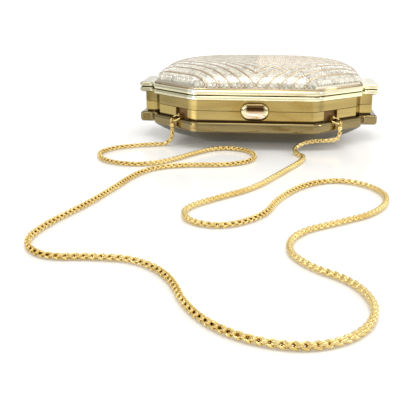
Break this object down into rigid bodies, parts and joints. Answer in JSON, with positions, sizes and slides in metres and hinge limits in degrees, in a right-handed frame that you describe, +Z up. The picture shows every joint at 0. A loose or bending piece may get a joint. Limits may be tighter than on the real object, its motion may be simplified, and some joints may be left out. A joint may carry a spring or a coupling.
{
  "type": "evening bag",
  "caption": "Hard metal evening clutch with a domed front of crystal rows, a push clasp, a rear hinge and a loose metal chain strap.",
  "frame": {"origin": "middle of the bag's body (its rim), on the surface that it lies on; z = 0 is the bottom of the domed back and of the chain", "axes": "+Z up, out of the stone-set front; -Y towards the clasp; +Y towards the hinge; X along the bag's width"},
  "size_m": [0.1693, 0.3798, 0.0505],
  "materials": {
    "gold": "satin",
    "chain": "polished",
    "crystal": "polished",
    "lining": "satin",
    "steel": "satin"
  },
  "bodies": {
    "case": {"back_casing": "gold", "back_panel": "gold", "back_lining": "lining", "hinge_leaf_back": "gold", "hinge_pin": "steel", "clasp_bracket": "gold", "clasp_springs": "steel", "chain_lug_left": "gold", "chain_lug_right": "gold", "jump_ring_left": "chain", "jump_ring_right": "chain", "chain_end_left": "chain", "chain_end_right": "chain", "chain": "chain"},
    "lid": {"front_casing": "gold", "front_panel": "gold", "front_ribs": "gold", "front_crystals": "crystal", "front_lining": "lining", "hinge_leaf_front": "gold", "clasp_striker": "gold"},
    "clasp": {"clasp_button": "gold", "clasp_hook": "gold"}
  },
  "joints": [
    {"name": "lid_hinge", "type": "hinge", "parent": "case", "child": "lid", "pos_m": [0, 0.0542, 0.0235], "axis": [-1, 0, 0], "range_deg": [0, 100]},
    {"name": "clasp_press", "type": "slide", "parent": "case", "child": "clasp", "axis": [0, 1, 0], "range_m": [0, 0.002], "stiffness_N_per_m": 800, "deforming": ["clasp_springs"]}
  ]
}
